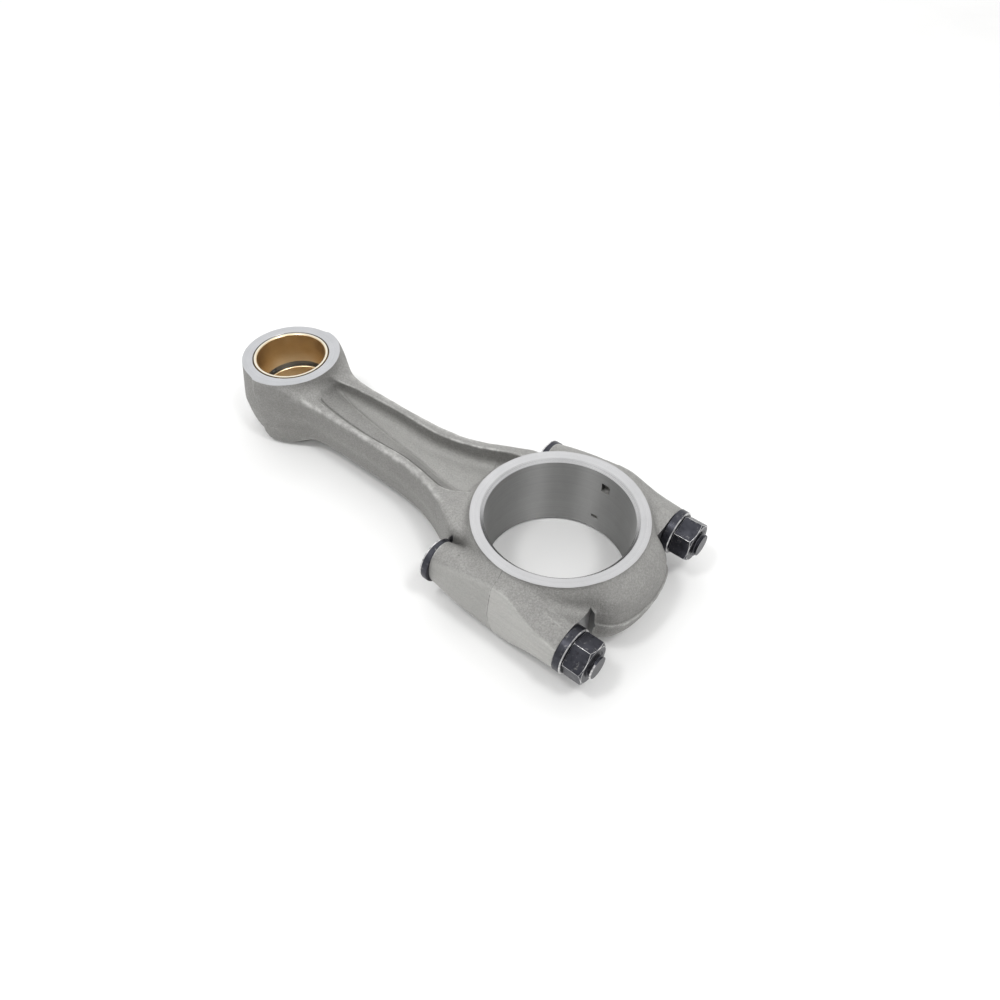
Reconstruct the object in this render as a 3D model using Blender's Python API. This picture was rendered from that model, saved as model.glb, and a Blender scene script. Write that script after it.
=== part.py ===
"""Connecting rod of a small diesel engine, lying flat on its two machined end faces.

Frame, in metres: the origin is under the middle of the rod, on the surface it lies on. +X runs
along the rod from the piston-pin end to the big-end cap, +Y across it and +Z along both bores.
The two bolts are parallel to X. Every piece is a closed solid of its own; pieces that touch on
the real rod keep a gap of FIT between their meshes.
"""

import bmesh
import bpy
import numpy as np
from mathutils import Matrix, Vector

# ---------------------------------------------------------------- driving dimensions
CENTRE_DISTANCE = 0.180
WIDTH = 0.042  # both ends, face to face
FIT = 0.0003  # gap between pieces that touch

CRANKPIN_BORE_R = 0.034
BIG_FACE_R = 0.04025  # machined ring round the crankpin bore
BORE_CHAMFER = 0.0016

PIN_BORE_R = 0.018
BUSH_OUTER_R = 0.020
UPPER_BUSH = 0.0184  # bush lengths: an oil gap stays open between them
LOWER_BUSH = 0.0200
OIL_HOLE_R = 0.0017
SMALL_FACE_R = 0.0258
SMALL_BOSS_R = 0.0287  # at the parting line

BOLT_Y = 0.0417
THREAD_R = 0.006
SHANK_R = 0.0055
BOLT_HOLE_R = 0.0065
HEAD_R = 0.0104
HEAD_HEIGHT = 0.004
HEAD_FLAT = 0.0083  # bolt axis to the flat of the D-shaped head
HEAD_SEAT = -0.0343  # seats and bolt end, from the crankpin axis along X
NUT_SEAT = 0.0355
BOLT_END = 0.0516
NUT_FLATS = 0.018
NUT_HEIGHT = 0.0092
WASHER_R = 0.0108
WASHER_HEIGHT = 0.0040
FITTED_R = BOLT_HOLE_R - FIT  # the two bands that locate the cap
FITTED_HALF = 0.009
NOTCH_DEPTH = 0.0014  # where the tangs of the bearing shells sit

CROWN_R = 0.052  # the cap's arch at the parting line
CROWN_HALF_WIDTH = 0.0256  # between the two nut seats
SHOULDER_Y = 0.0331  # the wall that keeps each bolt head from turning

# ---------------------------------------------------------------- worked out from them
BIG_X = (CENTRE_DISTANCE + SMALL_BOSS_R - CROWN_R) / 2
SMALL_X = BIG_X - CENTRE_DISTANCE
MID_Z = WIDTH / 2
OUTSIDE = 0.1  # longer than anything a cutter has to pass through

# Shank: distance from the crankpin axis, half width, half height, half width of the pocket at its
# rim and at its floor, half thickness of the web.
SHANK_STATIONS = (
    (-0.1700, 0.0250, 0.0180, 0.0040, 0.0020, 0.0176),
    (-0.1600, 0.0208, 0.0160, 0.0050, 0.0020, 0.0150),
    (-0.1530, 0.0184, 0.0136, 0.0070, 0.0022, 0.0096),
    (-0.1460, 0.0170, 0.0124, 0.0092, 0.0030, 0.0052),
    (-0.1360, 0.0166, 0.0120, 0.0104, 0.0040, 0.0042),
    (-0.1080, 0.0165, 0.0122, 0.0106, 0.0046, 0.0038),
    (-0.0880, 0.0170, 0.0126, 0.0114, 0.0056, 0.0038),
    (-0.0720, 0.0187, 0.0132, 0.0132, 0.0072, 0.0040),
    (-0.0600, 0.0222, 0.0140, 0.0158, 0.0094, 0.0044),
    (-0.0510, 0.0262, 0.0147, 0.0182, 0.0112, 0.0052),
    (-0.0440, 0.0302, 0.0152, 0.0190, 0.0120, 0.0090),
    (-0.0385, 0.0340, 0.0153, 0.0190, 0.0120, 0.0140),
    (HEAD_SEAT, 0.0334, 0.0153, 0.0190, 0.0120, 0.0150),
    (-0.0200, 0.0345, 0.0150, 0.0190, 0.0120, 0.0148),
)
RIM_DRAFT = 0.0012
RIM_ROUND = 0.0016

# Bolt boss: distance from the crankpin axis, half width, half height, superellipse exponent.
BOSS_STATIONS = (
    (HEAD_SEAT, 0.0084, 0.0113, 2.2),
    (-0.0240, 0.0088, 0.0135, 2.6),
    (-0.0110, 0.0091, 0.0154, 3.4),
    (0.0000, 0.0093, 0.0164, 4.6),
    (0.0080, 0.0094, 0.0158, 4.0),
    (0.0200, 0.0095, 0.0136, 2.8),
    (NUT_SEAT, 0.0098, 0.0108, 2.1),
)
BOSS_POINTS = 24


# ---------------------------------------------------------------- building blocks
def clear_scene():
    for obj in list(bpy.data.objects):
        bpy.data.objects.remove(obj)


def material(name, colour, metallic, roughness):
    made = bpy.data.materials.new(name)
    made.use_nodes = True
    shader = made.node_tree.nodes["Principled BSDF"]
    shader.inputs["Base Color"].default_value = (*colour, 1)
    shader.inputs["Metallic"].default_value = metallic
    shader.inputs["Roughness"].default_value = roughness
    return made


def add_object(name, mesh, finish=None, smooth_degrees=35):
    mesh.shade_smooth()
    mesh.set_sharp_from_angle(angle=np.radians(smooth_degrees))
    obj = bpy.data.objects.new(name, mesh)
    bpy.context.scene.collection.objects.link(obj)
    if finish:
        mesh.materials.append(finish)
    return obj


def loft(name, rings, closed_loop=False):
    """Mesh through rings of equal length: open with end caps, or closed round on itself."""
    shape = bmesh.new()
    rows = [[shape.verts.new(Vector(point)) for point in ring] for ring in rings]
    pairs = list(zip(rows, rows[1:]))
    if closed_loop:
        pairs.append((rows[-1], rows[0]))
    for row, following in pairs:
        for i in range(len(row)):
            j = (i + 1) % len(row)
            shape.faces.new((row[i], row[j], following[j], following[i]))
    if not closed_loop:
        shape.faces.new(rows[0])
        shape.faces.new(rows[-1])
    bmesh.ops.recalc_face_normals(shape, faces=shape.faces)
    if shape.calc_volume(signed=True) < 0:
        bmesh.ops.reverse_faces(shape, faces=shape.faces)
    mesh = bpy.data.meshes.new(name)
    shape.to_mesh(mesh)
    shape.free()
    return mesh


def turned(name, profile, segments, start=0.0, sweep=360.0):
    """Profile of (radius, height) points turned about Z. The profile is a closed outline, or
    starts and ends on the axis."""
    whole = abs(sweep) >= 360
    steps = segments if whole else segments + 1
    angles = np.radians(start + np.arange(steps) * sweep / segments)
    rings = [[(r * np.cos(a), r * np.sin(a), h) for r, h in profile] for a in angles]
    if not whole or all(r > 0 for r, _ in profile):
        return loft(name, rings, closed_loop=whole)
    across = [[(r * np.cos(a), r * np.sin(a), h) for a in angles] for r, h in profile[1:-1]]
    return loft(name, across)


def box(name, low, high):
    corners = [(low[0], low[1]), (high[0], low[1]), (high[0], high[1]), (low[0], high[1])]
    return loft(name, [[(x, y, z) for x, y in corners] for z in (low[2], high[2])])


def disc_profile(radius, half, chamfer):
    """Solid turned disc, from the axis up its outer side and back to the axis."""
    return [(0, -half), (radius - chamfer, -half), (radius, chamfer - half),
            (radius, half - chamfer), (radius - chamfer, half), (0, half)]


def helper(name, mesh, place=None):
    """A shape that only cuts or joins: no render, and drawn as wire."""
    obj = add_object(name, mesh)
    obj.hide_render = True
    obj.display_type = "WIRE"
    if place is not None:
        obj.matrix_world = place
    return obj


def combine(obj, operation, others):
    for other in others:
        step = obj.modifiers.new(f"{operation.lower()} {other.name}", "BOOLEAN")
        step.operation = operation
        step.solver = "EXACT"
        step.object = other


def at(x, y, z):
    return Matrix.Translation((x, y, z))


ALONG_X = Matrix(((0, 0, 1, 0), (0, 1, 0, 0), (-1, 0, 0, 0), (0, 0, 0, 1)))  # turned Z to +X


def on_bolt(side, offset=0.0):
    """Places a piece turned about Z on a bolt's axis, its Z pointing towards the nut."""
    return at(BIG_X + offset, side * BOLT_Y, MID_Z) @ ALONG_X


# ---------------------------------------------------------------- forged shapes
def small_boss():
    lip = 0.0018
    return turned("small_boss", [(0, -MID_Z), (SMALL_FACE_R, -MID_Z), (SMALL_FACE_R, lip - MID_Z),
                                 (SMALL_BOSS_R, 0), (SMALL_FACE_R, MID_Z - lip),
                                 (SMALL_FACE_R, MID_Z), (0, MID_Z)], 48)


def big_boss():
    """The barrel round the crankpin bore, with the machined ring standing a step proud."""
    step, root, waist = 0.0024, 0.0425, 0.0455
    return turned("big_boss", [(0, -MID_Z), (BIG_FACE_R, -MID_Z), (BIG_FACE_R, step - MID_Z),
                               (root, 2 * step - MID_Z), (waist, 0), (root, MID_Z - 2 * step),
                               (BIG_FACE_R, MID_Z - step), (BIG_FACE_R, MID_Z), (0, MID_Z)], 80)


def shank_section(x, width, height, rim, floor, web):
    """Closed I-section across the shank: pocket above and below, widest at the parting line."""
    quarter = [(width, 0), (width - RIM_DRAFT, height - RIM_ROUND),
               (width - RIM_DRAFT - RIM_ROUND, height), (rim, height),
               ((rim + 2 * floor) / 3, (height + 4 * web) / 5), (floor / 2, web)]
    right_top = quarter
    left_top = [(-y, z) for y, z in reversed(quarter)]
    left_low = [(-y, -z) for y, z in quarter[1:]]
    right_low = [(y, -z) for y, z in reversed(quarter[1:])]
    return [(x, y, z) for y, z in right_top + left_top + left_low + right_low]


def shank():
    return loft("shank", [shank_section(*station) for station in SHANK_STATIONS])


def boss_section(x, width, height, exponent):
    angles = np.arange(BOSS_POINTS) * 2 * np.pi / BOSS_POINTS
    power = 2 / exponent
    across = width * np.sign(np.cos(angles)) * np.abs(np.cos(angles)) ** power
    up = height * np.sign(np.sin(angles)) * np.abs(np.sin(angles)) ** power
    return [(x, y, z) for y, z in zip(across, up)]


def boss_shape():
    return loft("bolt_boss", [boss_section(*station) for station in BOSS_STATIONS])


def crown_reach(angle):
    """Outer radius of the arch at an angle from +X, its corners rounded into the side walls."""
    sharpness, least = 12, 0.044
    wall = CROWN_HALF_WIDTH / max(abs(np.sin(angle)), 0.01)
    return max(least, (CROWN_R ** -sharpness + wall ** -sharpness) ** (-1 / sharpness))


def crown_shape():
    """The cap's arch: a cone falls from the ring to a rim that is widest at the parting line."""
    inner, edge_r, edge_z, draft, reach = 0.036, 0.0494, 0.0082, 0.0009, np.radians(62)
    top_z = MID_Z - 0.0032
    outline = [(inner, -top_z), (BIG_FACE_R, -top_z), (edge_r, -edge_z),
               (CROWN_R - draft, 2 * draft - edge_z), (CROWN_R, 0),
               (CROWN_R - draft, edge_z - 2 * draft), (edge_r, edge_z),
               (BIG_FACE_R, top_z), (inner, top_z)]
    rings = []
    for angle in np.linspace(-reach, reach, 43):
        shrink = (crown_reach(angle) - BIG_FACE_R) / (CROWN_R - BIG_FACE_R)
        radii = [r if r <= BIG_FACE_R else BIG_FACE_R + (r - BIG_FACE_R) * shrink for r, _ in outline]
        rings.append([(r * np.cos(angle), r * np.sin(angle), z) for r, (_, z) in zip(radii, outline)])
    return loft("crown", rings)


def bore_profile(radius, half, chamfer):
    """Cutter for a bore chamfered at both mouths, past both faces."""
    past = 0.002
    return [(0, -half - past), (radius + chamfer + past, -half - past),
            (radius, chamfer - half), (radius, half - chamfer),
            (radius + chamfer + past, half + past), (0, half + past)]


def side_box(name, side, x_low, x_high, y_inner):
    """Box cutter outside a wall at y_inner on one side, through the full height."""
    y_low, y_high = sorted((side * y_inner, side * OUTSIDE))
    return helper(name, box(name, (BIG_X + x_low, y_low, -OUTSIDE), (BIG_X + x_high, y_high, OUTSIDE)))


SIDES = (("left", 1), ("right", -1))


def bolt_cutters(owner):
    hole = turned("bolt_hole", disc_profile(BOLT_HOLE_R, OUTSIDE, 0.001), 24)
    return [helper(f"{owner}_bolt_hole_{word}", hole, on_bolt(side)) for word, side in SIDES]


def tang_notch(name, x_low, x_high, z_low, z_high):
    """Cutter for the notch that keeps a bearing shell from turning, at the +Y joint."""
    low = (BIG_X + x_low, CRANKPIN_BORE_R - 2 * NOTCH_DEPTH, z_low)
    return helper(name, box(name, low, (BIG_X + x_high, CRANKPIN_BORE_R + NOTCH_DEPTH, z_high)))


def joint_half(name, side):
    """Half-space cutter: side +1 removes all beyond the joint face, -1 all before it."""
    face = BIG_X - side * FIT / 2
    low, high = sorted((face, face + side * 3 * OUTSIDE))
    return helper(name, box(name, (low, -OUTSIDE, -OUTSIDE), (high, OUTSIDE, OUTSIDE)))


# ---------------------------------------------------------------- the pieces
def make_rod_body(steel):
    body = add_object("rod_body", big_boss(), steel)
    body.matrix_world = at(BIG_X, 0, MID_Z)
    centre = at(BIG_X, 0, MID_Z)
    joined = [helper("shank", shank(), centre), helper("small_boss", small_boss(), at(SMALL_X, 0, MID_Z))]
    boss = boss_shape()
    for word, side in SIDES:
        joined.append(helper(f"rod_boss_{word}", boss, at(BIG_X, side * BOLT_Y, MID_Z)))
    combine(body, "UNION", joined)
    cuts = [joint_half("beyond_joint", 1)]
    for word, side in SIDES:
        cuts.append(side_box(f"head_recess_{word}", side, -OUTSIDE, HEAD_SEAT, SHOULDER_Y))
    crankpin = turned("crankpin", bore_profile(CRANKPIN_BORE_R, MID_Z, BORE_CHAMFER), 80)
    cuts.append(helper("rod_crankpin_bore", crankpin, centre))
    pin = turned("pin_housing", bore_profile(BUSH_OUTER_R + FIT, MID_Z, 0.0004), 48)
    cuts.append(helper("pin_housing_bore", pin, at(SMALL_X, 0, MID_Z)))
    oil = turned("oil_drilling", disc_profile(OIL_HOLE_R, SMALL_BOSS_R / 2, OIL_HOLE_R / 4), 16)
    gap_z = (WIDTH - UPPER_BUSH + LOWER_BUSH) / 2
    cuts.append(helper("pin_oil_hole", oil, at(SMALL_X - SMALL_BOSS_R, 0, gap_z) @ ALONG_X))
    cuts.append(tang_notch("rod_tang_notch", -0.0045, 0.002, 0.0085, 0.0135))
    combine(body, "DIFFERENCE", cuts + bolt_cutters("rod"))
    return body


def make_cap(steel):
    cap = add_object("big_end_cap", big_boss(), steel)
    cap.matrix_world = at(BIG_X, 0, MID_Z)
    centre = at(BIG_X, 0, MID_Z)
    joined = [helper("crown", crown_shape(), centre)]
    boss = boss_shape()
    for word, side in SIDES:
        joined.append(helper(f"cap_boss_{word}", boss, at(BIG_X, side * BOLT_Y, MID_Z)))
    combine(cap, "UNION", joined)
    cuts = [joint_half("before_joint", -1)]
    for word, side in SIDES:
        cuts.append(side_box(f"nut_seat_{word}", side, NUT_SEAT, OUTSIDE, CROWN_HALF_WIDTH + FIT))
    crankpin = turned("crankpin", bore_profile(CRANKPIN_BORE_R, MID_Z, BORE_CHAMFER), 80)
    cuts.append(helper("cap_crankpin_bore", crankpin, centre))
    cuts.append(tang_notch("cap_tang_notch", -0.002, 0.006, 0.0272, 0.0365))
    combine(cap, "DIFFERENCE", cuts + bolt_cutters("cap"))
    return cap


def make_bushes(bronze):
    """Two plain bushes pressed in from the two faces, with an oil gap left between them."""
    lead = 0.0008
    for word, length, low in (("upper", UPPER_BUSH, WIDTH - UPPER_BUSH), ("lower", LOWER_BUSH, 0)):
        outline = [(PIN_BORE_R, lead), (PIN_BORE_R, length - lead), (PIN_BORE_R + lead, length),
                   (BUSH_OUTER_R - lead / 2, length), (BUSH_OUTER_R, length - lead),
                   (BUSH_OUTER_R, lead), (BUSH_OUTER_R - lead / 2, 0), (PIN_BORE_R + lead, 0)]
        bush = add_object(f"small_end_bush_{word}", turned(f"bush_{word}", outline, 48), bronze)
        bush.location = (SMALL_X, 0, low)


def make_bolt(word, side, oxide):
    """Through bolt: D-shaped head, fitted bands at head and joint, thinner waists, threaded end."""
    under_head = HEAD_SEAT - FIT
    thread_start, taper, point = 0.022, 0.001, 0.0009
    outline = [(0, under_head - HEAD_HEIGHT), (HEAD_R - point, under_head - HEAD_HEIGHT),
               (HEAD_R, under_head - HEAD_HEIGHT + point), (HEAD_R, under_head),
               (FITTED_R, under_head), (FITTED_R, under_head + FITTED_HALF),
               (SHANK_R, under_head + FITTED_HALF + taper), (SHANK_R, -FITTED_HALF - taper),
               (FITTED_R, -FITTED_HALF), (FITTED_R, FITTED_HALF),
               (SHANK_R, FITTED_HALF + taper), (SHANK_R, thread_start - taper),
               (THREAD_R, thread_start), (THREAD_R, BOLT_END - point),
               (THREAD_R - point, BOLT_END), (0, BOLT_END)]
    bolt = add_object(f"bolt_{word}", turned(f"bolt_{word}", outline, 24), oxide)
    bolt.matrix_world = on_bolt(side)
    flat_wall = BOLT_Y - HEAD_FLAT
    y_low, y_high = sorted((0.0, side * flat_wall))
    cutter = box(f"head_flat_{word}", (BIG_X - OUTSIDE, y_low, -OUTSIDE),
                 (BIG_X + under_head, y_high, OUTSIDE))
    combine(bolt, "DIFFERENCE", [helper(f"head_flat_{word}", cutter)])


def make_washer(word, side, oxide):
    rim, inner = 0.0005, THREAD_R + FIT
    low, high = NUT_SEAT + FIT, NUT_SEAT + FIT + WASHER_HEIGHT
    outline = [(inner, low), (inner, high), (WASHER_R - 2 * rim, high),
               (WASHER_R - rim, high - rim), (WASHER_R, low + rim), (WASHER_R - rim, low)]
    washer = add_object(f"washer_{word}", turned(f"washer_{word}", outline, 32), oxide)
    washer.matrix_world = on_bolt(side)


def make_nut(word, side, oxide):
    """Hexagon nut: its blank is a prism, rounded off at both faces by the turned outline."""
    low = NUT_SEAT + WASHER_HEIGHT + 2 * FIT
    corner_r = NUT_FLATS / np.sqrt(3)
    inner, cone = THREAD_R + FIT, 0.0008
    turn = np.radians(13) * -side
    corners = turn + np.radians(60) * np.arange(6)
    hexagon = [(corner_r * np.cos(a), corner_r * np.sin(a)) for a in corners]
    mesh = loft(f"nut_{word}", [[(x, y, z) for x, y in hexagon] for z in (0, NUT_HEIGHT)])
    nut = add_object(f"nut_{word}", mesh, oxide)
    nut.matrix_world = on_bolt(side, low)
    outer, past = corner_r + FIT, 0.0002
    outline = [(inner, -past), (inner, NUT_HEIGHT + past), (NUT_FLATS / 2 - FIT, NUT_HEIGHT + past),
               (outer, NUT_HEIGHT - cone), (outer, cone / 2), (NUT_FLATS / 2, -past)]
    turning = turned(f"nut_turning_{word}", outline, 36)
    blank = helper(f"nut_turning_{word}", turning, on_bolt(side, low))
    combine(nut, "INTERSECT", [blank])


def main():
    clear_scene()
    forged = material("forged_steel", (0.42, 0.41, 0.40), 0.7, 0.55)
    bronze = material("bronze", (0.50, 0.33, 0.14), 0.9, 0.35)
    oxide = material("black_oxide", (0.06, 0.06, 0.075), 0.6, 0.4)
    make_rod_body(forged)
    make_cap(forged)
    make_bushes(bronze)
    for word, side in SIDES:
        make_bolt(word, side, oxide)
        make_washer(word, side, oxide)
        make_nut(word, side, oxide)


main()
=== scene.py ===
import bmesh
import bpy
import numpy as np
import openvdb
from mathutils import Matrix, Vector


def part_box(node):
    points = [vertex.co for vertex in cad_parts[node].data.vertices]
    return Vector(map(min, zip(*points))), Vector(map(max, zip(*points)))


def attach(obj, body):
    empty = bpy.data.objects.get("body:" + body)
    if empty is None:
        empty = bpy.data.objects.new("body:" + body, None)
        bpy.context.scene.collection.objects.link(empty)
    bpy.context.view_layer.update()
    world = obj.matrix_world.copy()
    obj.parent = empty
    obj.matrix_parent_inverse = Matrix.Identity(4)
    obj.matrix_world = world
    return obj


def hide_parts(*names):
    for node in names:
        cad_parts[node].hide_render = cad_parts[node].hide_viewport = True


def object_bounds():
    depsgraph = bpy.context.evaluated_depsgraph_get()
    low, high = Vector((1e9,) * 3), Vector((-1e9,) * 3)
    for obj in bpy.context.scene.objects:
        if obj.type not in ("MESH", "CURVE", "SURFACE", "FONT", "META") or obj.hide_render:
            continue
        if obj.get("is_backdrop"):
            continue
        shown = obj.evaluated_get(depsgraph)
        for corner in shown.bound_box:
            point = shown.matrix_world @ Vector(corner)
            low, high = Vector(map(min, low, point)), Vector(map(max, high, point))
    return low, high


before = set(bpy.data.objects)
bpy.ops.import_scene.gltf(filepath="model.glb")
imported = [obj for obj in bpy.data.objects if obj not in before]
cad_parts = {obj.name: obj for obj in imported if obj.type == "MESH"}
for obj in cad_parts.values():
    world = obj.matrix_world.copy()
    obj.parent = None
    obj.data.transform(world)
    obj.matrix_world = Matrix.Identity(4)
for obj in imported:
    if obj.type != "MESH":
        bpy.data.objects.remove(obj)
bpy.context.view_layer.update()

# ---------------------------------------------------------------- dimensions, millimetres and degrees
# x runs from the crankpin axis, h is the distance from the parting plane half way up.
FACE_H = 21.0
CRANKPIN_R = 34.0
CRANKPIN_CHAMFER = 1.6
SMALL_X = -180.0
SMALL_BOSS_R = 28.7
HOUSING_R = 20.3
HOUSING_CHAMFER = 0.12
BUSH_R = 20.0
PIN_R = 18.0
BOLT_Y = 41.7
BOLT_HOLE_R = 6.5
HEAD_SEAT = -34.3
NUT_SEAT = 35.5
SHOULDER_Y = 33.1
CROWN_Y = 25.6
BOLT_END = 51.6
PITCH = 1.5
WASHER_R = 10.8
WASHER_LOW, WASHER_HIGH = NUT_SEAT + 0.05, NUT_SEAT + 4.3
NUT_LOW, NUT_HIGH = 40.1, 49.3
NUT_FLATS = 18.0
NUT_TURN = 13
OIL_HOLE_R, OIL_HOLE_H = 1.7, 0.8
DRILLING_R, DRILLING_H, DRILLING_TURN = 0.9, 9, 216
CAP_NOTCH = {"x_low": -3, "x_high": 4.7, "z_low": 8.2, "z_high": 13.4, "depth": 3.0}
ROD_NOTCH = {"x_low": -3.6, "x_high": 3, "z_low": -12.0, "z_high": -10.2, "depth": 0.5}
JOINT_GAP = 0.02
VOXEL = 0.65
OVERSHOOT = 90
SIDES = (("left", 1), ("right", -1))

# Camera and light, degrees, millimetres for the lens and metres for the rest.
CAMERA_AZIMUTH, CAMERA_ELEVATION, CAMERA_ROLL = 39.148, 47.358, 0.376
CAMERA_PLACE = (0.20670, -0.19986, 0.30729)
CAMERA_LENS, SENSOR_WIDTH = 28.92, 36
SKY_TOWARD, SKY_LOW, SKY_HIGH = (-0.30, 0.36, 0.88), 0.66, 0.98
OVERHEAD_PLACE, OVERHEAD_SIZE, OVERHEAD_POWER = (-0.81, 0.78, 1.02), (1.5, 1.3), 4.5
LAMP_TOWARD = {"lamp_right": (0.412, -0.031, 0.91), "lamp_left": (-0.159, -0.388, 0.91)}
LAMP_DISTANCE, LAMP_SIZE, LAMP_POWER = 1.1, (0.18, 0.18), 2.6
FLOOR_REACH = 6.0

ring_low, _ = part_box("small_end_bush_lower")
upper_low, upper_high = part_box("small_end_bush_upper")
MIDDLE_Z = 1000 * upper_high.z / 2
CRANK_X = 1000 * (ring_low.x + (upper_high.x - upper_low.x) / 2) - SMALL_X
PLACE = Matrix.Translation((CRANK_X / 1000, 0, MIDDLE_Z / 1000)) @ Matrix.Scale(0.001, 4)


# ---------------------------------------------------------------- camera
def add_camera():
    azimuth, elevation, roll = np.radians((CAMERA_AZIMUTH, CAMERA_ELEVATION, CAMERA_ROLL))
    flat = np.cos(elevation)
    back = Vector((np.sin(azimuth) * flat, -np.cos(azimuth) * flat, np.sin(elevation)))
    level = Vector((0, 0, 1)).cross(back).normalized()
    rise = back.cross(level)
    right = np.cos(roll) * level + np.sin(roll) * rise
    up = np.cos(roll) * rise - np.sin(roll) * level
    data = bpy.data.cameras.new("camera")
    data.sensor_width = SENSOR_WIDTH
    data.lens = CAMERA_LENS
    data.clip_start, data.clip_end = 0.01, 50
    camera = bpy.data.objects.new("camera", data)
    turn = Matrix((right, up, back)).transposed().to_4x4()
    camera.matrix_world = Matrix.Translation(CAMERA_PLACE) @ turn
    bpy.context.scene.collection.objects.link(camera)
    bpy.context.scene.camera = camera


# ---------------------------------------------------------------- forged shapes as distance fields
def curve(points, soften=2.5):
    """Function through (x, value) stations, its corners softened over a few millimetres."""
    xs, values = np.array(points, float).T
    fine = np.arange(xs[0] - 20, xs[-1] + 20, 0.25)
    level = np.interp(fine, xs, values)
    reach = np.arange(-24, 25) * 0.25
    weight = np.exp(-0.5 * (reach / soften) ** 2)
    padded = np.pad(level, 24, mode="edge")
    smooth = np.convolve(padded, weight / weight.sum(), mode="valid")
    return lambda x: np.interp(x, fine, smooth)


def join(a, b, k):
    """Union of two fields with a fillet about k wide."""
    h = np.maximum(k - np.abs(a - b), 0) / k
    return np.minimum(a, b) - h * h * k / 4


def meet(a, b, k):
    """Overlap of two fields with an edge rounded about k wide."""
    return -join(-a, -b, k)


def ramp(x, low, high):
    """Smooth rise from 0 at low to 1 at high."""
    t = np.clip((x - low) / (high - low), 0, 1)
    return t * t * (3 - 2 * t)


# Stations (x, value) along the rod; barrel_r and crown_r are (h, radius) instead.
shank_width = curve([
    (-175, 27), (-170, 25), (-160, 20.8), (-153, 18.4), (-146, 17.0), (-136, 16.6), (-108, 16.5),
    (-88, 17.0), (-72, 18.7), (-60, 22.2), (-51, 26.2), (-44, 30.2), (-38.5, 34.0), (-30, 34.4),
    (0, 34.4)
])
shank_height = curve([
    (-175, 18), (-165, 17), (-158, 14.6), (-150, 12.7), (-136, 12.0), (-108, 12.2), (-88, 12.6),
    (-72, 13.2), (-60, 14.0), (-51, 14.7), (-44, 15.2), (0, 15.2)
])
rim_near = curve([
    (-172, 4), (-162, 7.0), (-154, 9.2), (-148, 10.2), (-138, 11), (-125, 12), (-113, 12.4),
    (-101, 12.1), (-86, 11.5), (-73, 13.2), (-59, 16.3), (-52, 15.6), (-47, 13), (-42, 9.5),
    (-36, 8)
])
foot_near = curve([
    (-165, -8.4), (-152, -6.9), (-135, -4.0), (-116, -1.4), (-100, 0.7), (-84, 2.6), (-68, 5.6),
    (-59, 6.8), (-54, 6.6), (-48, 5), (-42, 2), (-36, 1)
])
rim_far = curve([
    (-172, 3), (-160, 5.4), (-150, 7.4), (-142, 9.2), (-136, 9.9), (-125, 10.5), (-111, 10.9),
    (-96, 10.4), (-82, 10.4), (-72, 12.2), (-60, 15.2), (-51, 19), (-44, 22), (-36, 24)
])
foot_far = curve([
    (-172, 2), (-160, 4.4), (-152, 6.0), (-142, 7.6), (-126, 8.4), (-112, 8.9), (-97, 8.5),
    (-84, 8.7), (-72, 10.6), (-62, 13.2), (-51, 17.0), (-44, 20), (-36, 22)
])
web_half = curve([
    (-175, 18), (-160, 17), (-156, 12.5), (-152.5, 7.4), (-149, 5.0), (-143, 3.9), (-108, 3.8),
    (-88, 3.8), (-72, 4.0), (-60, 4.4), (-52, 4.8), (-46, 5.6), (-41, 8), (-36, 13), (0, 15)
], 1.6)
barrel_r = curve([
    (-1, 45.2), (0, 45.2), (10, 43.6), (15, 42.6), (18, 41.4), (19.6, 40.5), (20.4, 40.25),
    (30, 40.25)
], 0.6)
boss_width = curve([
    (-36, 8.4), (-24, 8.8), (-11, 9.0), (0, 9.1), (12, 9.3), (24, 9.5), (36, 9.8)
])
boss_top = curve([
    (-36, 11.3), (-24, 13.6), (-11, 16.2), (-3, 17.6), (6, 17.9), (12, 16.4), (20, 13.8),
    (28, 12.1), (36, 10.7)
], 1.5)
boss_fall = curve([
    (-36, 0.10), (-11, 0.26), (0, 0.34), (7, 0.30), (12, 0.42), (22, 0.56), (36, 0.50)
], 1.5)
boss_round = curve([
    (-36, 9), (-20, 5), (-6, 2.6), (0, 1.6)
], 1.5)


def bolt_boss(x, ay, h, rounding, draft):
    """Rod half of the boss round each bolt."""
    dy = ay - BOLT_Y
    side = np.abs(dy) - (boss_width(x) - draft * (0.10 * h + 0.006 * h * h))
    top = h - (boss_top(x) - boss_fall(x) * np.maximum(dy, 0))
    return meet(side * 0.97, top * 0.88, rounding)


def barrel(x, ay, h):
    return (np.hypot(x, ay) - barrel_r(h)) * 0.96


def lip_step(rise):
    """Height of the small steps at the top and foot of the pocket's near wall."""
    return 1.4 * ramp(rise, 4, 7)


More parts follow.
